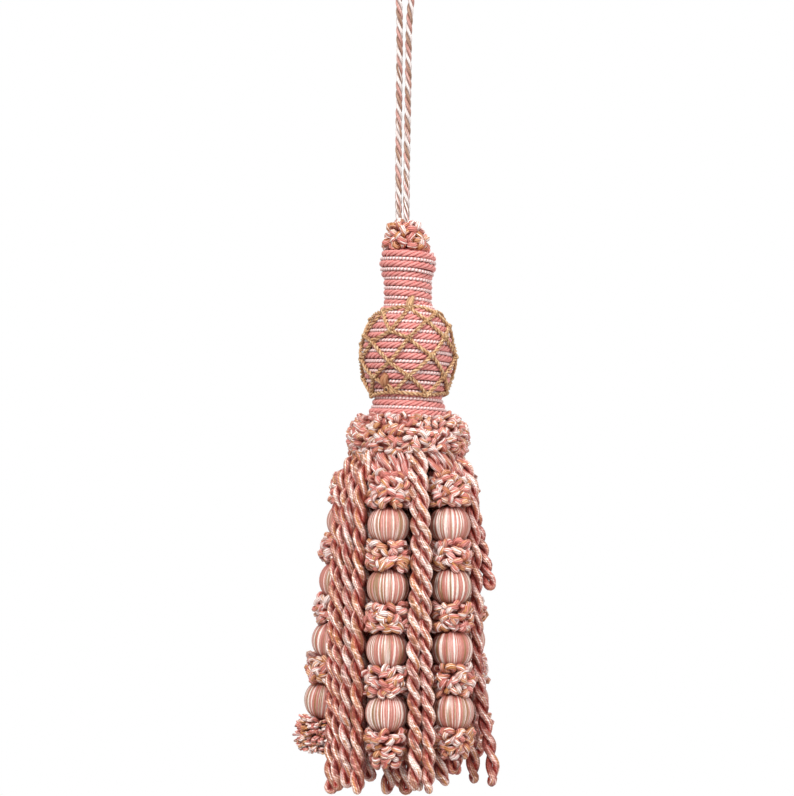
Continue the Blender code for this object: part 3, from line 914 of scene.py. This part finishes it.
# name, azimuth at the top and bottom, radius at the top and bottom, first ball's place down the string,
# pitch of the balls, tail of string below the last ball's middle
HANGERS = [
    ("left", -97, -93, 14.3, 23.8, 15.9, 15.8, 13.4),
    ("front_left", -20, -17, 14.3, 19.6, 16.5, 15.9, 14.9),
    ("front_right", 47, 37, 14.3, 19.4, 16.5, 15.9, 12.4),
    ("right", 118, 117, 14.3, 19, 16.2, 15.8, 12.6),
    ("back", 191, 190, 14.3, 19.4, 16.4, 15.8, 13.4),
]


def hanger_line(hanger):
    """The top of a string, the unit step down it, how far down each ball's middle is, and its length."""
    _, top_azimuth, bottom_azimuth, top_radius, bottom_radius, first, pitch, tail = hanger
    middles = [first + pitch * number for number in range(BALL_COUNT)]
    length = middles[-1] + tail
    top = polar(top_azimuth, top_radius, STRING_TOP)
    return top, unit(polar(bottom_azimuth, bottom_radius, STRING_TOP + length) - top), middles, length


# %% The covered ball
BALL_BANDS = 48
BALL_YARNS = 60
FURROW_SCALE = 0.985
BORE_RADIUS = 3.4
BORE_SINK = 0.16
nothing_selected()
bpy.ops.mesh.primitive_uv_sphere_add(segments=BALL_BANDS, ring_count=16, radius=BALL_RADIUS * MM)
ball_model = bpy.context.object
ball_model.name = "ball_model"
ball_mesh = ball_model.data
bpy.ops.object.mode_set(mode="EDIT")
bpy.ops.mesh.select_all(action="SELECT")
bpy.ops.transform.resize(value=(1, 1, 0.99))
bpy.ops.object.mode_set(mode="OBJECT")


def yarn_at(place):
    """The number of the yarn at a place on an upright ball, counted from its right side."""
    return math.atan2(place.y, place.x) / math.tau * BALL_YARNS


for vertex in ball_mesh.vertices:
    across = vertex.co.xy.length / MM
    if round(yarn_at(vertex.co) / BALL_YARNS * BALL_BANDS) % 2 and across > 1:
        vertex.co.xy *= FURROW_SCALE
    vertex.co.z *= 1 - BORE_SINK * max(0, 1 - across / BORE_RADIUS) ** 1.5
ball_mesh.shade_smooth()
ball_mesh.uv_layers.remove(ball_mesh.uv_layers[0])
print("ball modelled with", len(ball_mesh.polygons), "faces")


def write_ball_maps(mesh, chance):
    """The lay, the dye shares and the painted shade of an upright ball, whose shade grows towards its ends.
    """
    half = BALL_YARNS / 2
    first_yarn = chance.integers(0, 1000) + half
    lay = []
    for face in mesh.polygons:
        middle = yarn_at(face.center)
        for number in face.vertices:
            place = mesh.vertices[number].co
            at_pole = place.xy.length < 1e-6
            aside = 0 if at_pole else (yarn_at(place) - middle + half) % BALL_YARNS - half
            lay.append((place.z / MM, first_yarn + middle + aside))
    ivory, tan = chance.uniform(0.3, 0.42), chance.uniform(0.24, 0.34)
    # Painted shade towards the ends, where the ruffs crowd the ball.
    ends = [max(0, (abs(v.co.z / MM / BALL_HALF + 0.08) - 0.45) / 0.55) for v in mesh.vertices]
    write_maps(mesh, lay, [(ivory, tan, 0.8 * end ** 1.3) for end in ends])


# %% Balls on their strings
BALL_TURN = 1.9
chance = np.random.default_rng(52)
for hanger in HANGERS:
    top, down, middles, _ = hanger_line(hanger)
    for number, middle in enumerate(middles):
        mesh = ball_mesh.copy()
        write_ball_maps(mesh, chance)
        front = (math.cos(number * BALL_TURN), math.sin(number * BALL_TURN), 0)
        across = unit(np.cross(front, -down))
        place = Matrix(np.column_stack([across, np.cross(-down, across), -down]).tolist()).to_4x4()
        place.translation = (top + down * middle) * MM
        mesh.transform(place)
        name = f"{hanger[0]}_{number + 1}"
        dress(new_object(f"covered_ball_{name}", mesh), silk_finish, "ball_thread", f"ball_{name}")
bpy.data.objects.remove(ball_model)
print(BALL_COUNT * len(HANGERS), "covered balls")


# %% Ruffs on their strings
PLY_YARNS = 13  # of a bullion cord, here and below
NECK_PLY_RADIUS = 0.85
NECK_PITCH = 11
RUFF_ROOT = 2.5
STRING_START = 4.4
CORE_RADIUS = 2.9
LONGEST_CORE = 8
# Main loops, then stray ones: one in how many, root farther out, reach farther, shares of width and half
# thickness, tumble, swirl
LOOP_KINDS = [(1, 0, 0, 1, 1, 18, 26), (3, 1, 0.8, 0.7, 0.75, 34, 50)]
# tiers as share of the way down, number of loops, reach and rise; then a loop's width and half
# thickness, and how wildly the loops lie
TALL_RUFF = ([(0.02, 10, 5.3, 36), (0.17, 12, 5.8, 14), (0.32, 13, 5.9, 4), (0.47, 13, 5.9, 0),
              (0.61, 13, 5.9, -4), (0.75, 13, 5.9, -8), (0.88, 12, 5.8, -14)], 3.2, 0.84, 1)
ROUND_RUFF = ([(0.12, 13, 5.8, 14), (0.31, 13, 6, 6), (0.5, 13, 6.1, 0), (0.69, 13, 6, -6),
               (0.87, 13, 5.8, -14)], 3.3, 0.88, 1)
END_RUFF = ([(0.08, 12, 5.8, 14), (0.18, 12, 5.9, 4), (0.32, 11, 5.5, -12), (0.46, 9, 4.9, -26),
             (0.6, 8, 4.2, -40), (0.72, 6, 3.6, -62)], 3.2, 0.82, 1)
BRUSH_RUFF = ([(0.08, 26, 5.6, 12), (0.18, 30, 6, 7), (0.29, 32, 6.3, 3), (0.41, 32, 6.4, 0),
               (0.53, 32, 6.4, -4), (0.65, 30, 6.2, -9), (0.77, 27, 5.9, -16), (0.88, 22, 5.3, -26)],
              1.5, 0.47, 0.5)


def ruff_between(start, end, top, down, ruff, chance):
    """Tiers of loops on a string, with fewer and thinner stray loops that reach farther out."""
    made = []
    tiers, width, fat, wild = ruff
    for share, count, reach, rise in tiers:
        centre = top + down * (start + (end - start) * share)
        for every, out, farther, wide, thick, tumble, swirl in LOOP_KINDS:
            made += petal_tier(centre, -down, count // every, chance.uniform(), RUFF_ROOT + out,
                               reach + farther, rise, width * wide, fat * thick, chance, tumble * wild,
                               swirl * wild)
    return made


def ruff_core(start, end, top, down, chance):
    """The bound middle of a ruff, with painted shade, as it lies between its loops."""
    line = respace(np.array([top + down * start, top + down * end]), 0.8)
    swell = CORE_RADIUS * np.sin(np.linspace(0.25, math.pi - 0.25, len(line))) ** 0.5
    made = strand(line, swell, 40, sides=16, twist=0.1, **random_shares(chance))
    made.painted_shade += 0.75
    return made


# share of the turn aside, degrees more, radius, depth
NECK_ROUTE = [(1, -3, 12.4, 142), (1, 0, 13.8, 144.6), (0.8, 3, 14.2, 148), (0.6, 6, 12.4, 153.5)]


def hanger_neck(azimuth, chance):
    """Short ends of bullion that come out of the heading on both sides of the string."""
    made = []
    for aside in range(-21, 20, 8):
        line = smooth_line([polar(azimuth + aside * share + more, radius, depth)
                            for share, more, radius, depth in NECK_ROUTE], 0.8)
        start = chance.uniform(0, math.tau)
        for k in range(2):
            wound = lay_round(line, 0.8, -1 / NECK_PITCH, start + math.pi * k)
            ply = strand(wound, NECK_PLY_RADIUS, PLY_YARNS, twist=0.012, **random_shares(chance))
            # Painted shade where the two plies meet.
            made.append(shade_by_distance(ply, off_line(ply, line), 0.5, 1.2))
    return made


chance = np.random.default_rng(57)
for hanger in HANGERS:
    name, top_azimuth, *_ = hanger
    top, down, middles, length = hanger_line(hanger)
    string_line = respace(np.array([top, top + down * length - down]), 0.8)
    loops = [strand(lay_round(string_line, 0.35, 1 / 4, math.pi * k), 0.38, 6, sides=6) for k in range(2)]
    loops += hanger_neck(top_azimuth, chance)
    starts = [STRING_START, *(middle + BALL_HALF for middle in middles)]
    ends = [*(middle - BALL_HALF for middle in middles), length]
    ruffs = [TALL_RUFF, ROUND_RUFF, ROUND_RUFF, ROUND_RUFF, BRUSH_RUFF if name == "left" else END_RUFF]
    for start, end, ruff in zip(starts, ends, ruffs):
        loops.append(ruff_core(start, min(end, start + LONGEST_CORE), top, down, chance))
        new_loops = ruff_between(start, end, top, down, ruff, chance)
        # The brush ruff's loops get no painted shade.
        if ruff is BRUSH_RUFF:  # its fine loops let the light through
            for loop in new_loops:
                loop.painted_shade *= 0
        loops += new_loops
    yarn_piece(f"string_and_ruffs_{name}", loops, ruff_finish, "looped_yarn", f"hanger_{name}")
print(len(HANGERS), "hangers")

# %% [markdown]
# ## Bullion fringe
# Bullion is yarn twisted so hard that it folds back on itself: each cord runs down, turns at the bottom
# and comes back up round its other half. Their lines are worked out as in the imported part: each level's
# cords push each other and the hangers apart.

# %% Where the cords hang
BULLION_SPACE = 1.55
HANGER_CLEARANCE = 5.5 + BULLION_SPACE + 0.3
SETTLE_ROUNDS = 40
LEVELS = [144, 149, 158, 176, 202, 231]
LAYER_RADII = {  # radius of a layer of cords at each level
    "outer": [15.2, 16.9, 18.2, 19.6, 21, 21.8],
    "short": [14.6, 15.6, 17.6, 21.6, 26, 30],
    "swung": [15.2, 16.6, 17.8, 18.8, 19.6, 23.6],
    "middle": [11.4, 12.3, 13, 14.4, 16.2, 17.8],
    "inner": [6.9, 7, 7.3, 8.4, 10.2, 12],
    "core": [2.7, 2.8, 3, 3.6, 4.6, 5.6],
}
OUTER_LAYERS = ("outer", "short", "swung")
BULLION_RUNS = [  # layer, and its cords' azimuth at the top, azimuth at the bottom and depth of the end
    ("outer", [(-79, -66, 231.5), (-67, -56, 230.2), (-55, -46, 229), (-43, -36, 230.2), (5, 4, 228.6),
               (15, 13, 229.6)]),
    ("short", [(78, 84, 179.4)]),
    ("swung", [(64, 74, 229.8)]),
    ("outer", [(142, 142, 230.4), (155, 155, 229.2), (168, 168, 230.8), (214, 213, 229.8),
               (228, 228, 229), (242, 243, 230.4)]),
    ("middle", [(-66, -60, 229.2), (-50, -46, 230), (14, 9, 229.4), (77, 74, 229.4), (91, 90, 223.6),
                (148, 149, 228.8), (162, 161, 230), (221, 221, 229), (236, 236, 229.6)]),
    ("inner", [(-97, -95, 227.2), (-58, -56, 228.6), (-20, -26, 231.4), (10, -3, 231.2), (48, 42, 229.4),
               (84, 80, 227.4), (118, 118, 228.2), (155, 155, 229), (191, 191, 227), (228, 228, 227.8)]),
    ("core", [(-60, -35, 231), (30, 30, 229.2), (120, 120, 227.8), (210, 210, 228.6)]),
]
BULLIONS = [(layer, *cord) for layer, cords in BULLION_RUNS for cord in cords]
END_STRETCH = 5
NUDGES = {  # cord: degrees turned and millimetres drawn in at each level, where one lies across another
    5: [(-1, 0), (-4, -0.3), (-4, -0.4), (-2, -0.2)],
    4: [(0, 0), (1, 1.4), (2, 1.6), (1, 0.8)],
}


def push(away, space):
    """The step along away that makes it as long as space, if it is shorter."""
    gap = np.linalg.norm(away)
    return away / gap * max(0, space - gap)


def settle(points, hangers_here):
    """Nestle the cords of one level side by side and clear of the hangers."""
    for _ in range(SETTLE_ROUNDS):
        for k, point in enumerate(points):
            for other in points[:k]:
                shift = push(point - other, 2 * BULLION_SPACE) / 2
                point += shift
                other -= shift
        for point in points:
            for middle in hangers_here:
                point += push(point - middle, HANGER_CLEARANCE)
    return points


lines = [hanger_line(hanger) for hanger in HANGERS]
levels = []
for k, depth in enumerate(LEVELS):
    share = (depth - LEVELS[0]) / (LEVELS[-1] - LEVELS[0])
    points = np.array([polar(top + (bottom - top) * share, LAYER_RADII[layer][k], depth)
                       for layer, top, bottom, _ in BULLIONS])
    hangers_here = [top - down * (depth + top[2]) / down[2] for top, down, *_ in lines]
    levels.append(settle(points, hangers_here) if k else points)
routes = []
for route, (*_, end) in zip(np.stack(levels, axis=1), BULLIONS):
    passed = sum(depth < end - END_STRETCH for depth in LEVELS)
    routes.append(route[:passed + 1])
    routes[-1][-1, 2] = -end
for number, nudges in NUDGES.items():
    for level, (turn, pull) in enumerate(nudges):
        x, y, z = routes[number][level]
        azimuth = math.degrees(math.atan2(x, -y)) + turn
        routes[number][level] = polar(azimuth, math.hypot(x, y) - pull, -z)
print(len(BULLIONS), "bullion cords")

# %% Twist the bullion cords
PLY_RADIUS = 0.93
PLY_OFFSET = 0.94
BULLION_PITCH = (8.8, 11.4)
BULLION_UNEVEN = (0.35, 0.75)
FOLD_DEPTH = 2
HIDDEN_TOP = 1.8
TOP_PULL = 2.2
SWAY = 0.55
SWAY_RUN = 85
HOOK = 1.3
HOOK_RUN = 2.2
LUMP = 0.07


def bullion(route, top_pull, chance):
    """One strand that goes down round the line, turns at the bottom and comes up on the other side."""
    route = route.copy()
    route[0, 2] += HIDDEN_TOP
    route[-1, 2] += FOLD_DEPTH
    line = smooth_line(route, 0.8)
    run = run_of(line)
    left = run[-1] - run
    # The line sways, some cords hook at the end, and the top is pulled in under the ruff.
    sway = chance.uniform(-1, 1, 4)
    amount = SWAY * np.sin(math.pi * run / run[-1])
    hook = chance.uniform(-HOOK, HOOK, 2) * chance.integers(0, 2)
    for k, waves in enumerate((9, 8)):
        line[:, k] += amount * sway[2 * k] * np.sin(waves * run / SWAY_RUN + 6 * sway[2 * k + 1])
        line[:, k] += hook[k] * np.exp(-left / HOOK_RUN)
    line[:, :2] -= unit(line[:, :2]) * (top_pull * np.exp(-(run / 8) ** 2))[:, None]
    # Its two halves wind round it and meet in the fold.
    pitch = chance.uniform(*BULLION_PITCH)
    start = chance.uniform(0, math.tau)
    uneven = chance.uniform(*BULLION_UNEVEN) * np.sin(run / chance.uniform(7, 12) + start)
    swell = 1 + 0.10 * np.exp(-(run / 14) ** 2)
    offset = PLY_OFFSET * (swell + 0.05 * np.exp(-(left / 2) ** 2))
    down = lay_round(line, offset, -1 / pitch, start, uneven)
    up = lay_round(line, offset, -1 / pitch, start + math.pi, uneven)
    tail = unit(line[-1] - line[-2])
    middle, aside = (down[-1] + up[-1]) / 2, (down[-1] - up[-1]) / 2
    bend = [middle + aside * math.cos(a) + tail * np.linalg.norm(aside) * math.sin(a)
            for a in np.linspace(0, math.pi, 7)[1:-1]]
    whole = np.vstack([down, bend, up[::-1]])
    at = run_of(whole)
    lumps = 1 + LUMP * np.sin(at / 1.9 + start) * np.sin(at / 5.3 + 2 * start)
    fat = PLY_RADIUS * np.concatenate([swell, np.ones(len(bend)), swell[::-1]]) * lumps
    made = strand(whole, fat, PLY_YARNS, sides=12, twist=0.012,
                  **random_shares(chance, salmon=(0.14, 0.4), ivory=(0.4, 0.65)))
    # Painted shade where little light reaches: the middle of the cord and the side that looks into the
    # skirt.
    middle_line = np.vstack([line, np.repeat(line[-1:], len(bend), axis=0), line[::-1]])
    shade_by_distance(made, off_line(made, middle_line), 0.95, 1.85)
    radius, middle_radius = (np.linalg.norm(p[..., :2], axis=-1) for p in (made.rings, middle_line))
    inward = middle_radius[:, None] - radius
    made.painted_shade = np.maximum(made.painted_shade, np.clip((inward + 0.9) / 2, 0, 0.85))
    return np.vstack([line, line[-1] + tail]), made


chance = np.random.default_rng(63)
counts = dict.fromkeys(LAYER_RADII, 0)
for route, (layer, *_) in zip(routes, BULLIONS):
    counts[layer] += 1
    heading = "outer_fringe" if layer in OUTER_LAYERS else "inner_fringe"
    line, made = bullion(route, TOP_PULL if layer in OUTER_LAYERS else 0, chance)
    piece = yarn_piece(f"bullion_{layer}_{counts[layer]}", [made], bullion_finish, "bullion_yarn", heading)
print(counts)

# %% [markdown]
# ## Headings
# The bullion hangs from two headings that the ruffs cover: a ring for the outer cords and a round pad
# for the inner ones. They only show from below, so they are plain woven tape, dark red as painted shade
# between the cords.

# %% Headings
# Each row is depth and radius.
pad = spun_form("inner_heading", [(135.4, 11.4), (137, 12.6), (141, 13.2), (143.6, 13.2), (144.2, 12.4)])
dress(pad, shade_tape_finish, "bullion_yarn", "inner_fringe")
ring = spun_form("outer_heading", [(137.6, 12.6), (138, 13.9), (143.4, 14), (144, 13.4), (144, 12.4)])
dress(ring, shade_tape_finish, "bullion_yarn", "outer_fringe")
print("two headings")
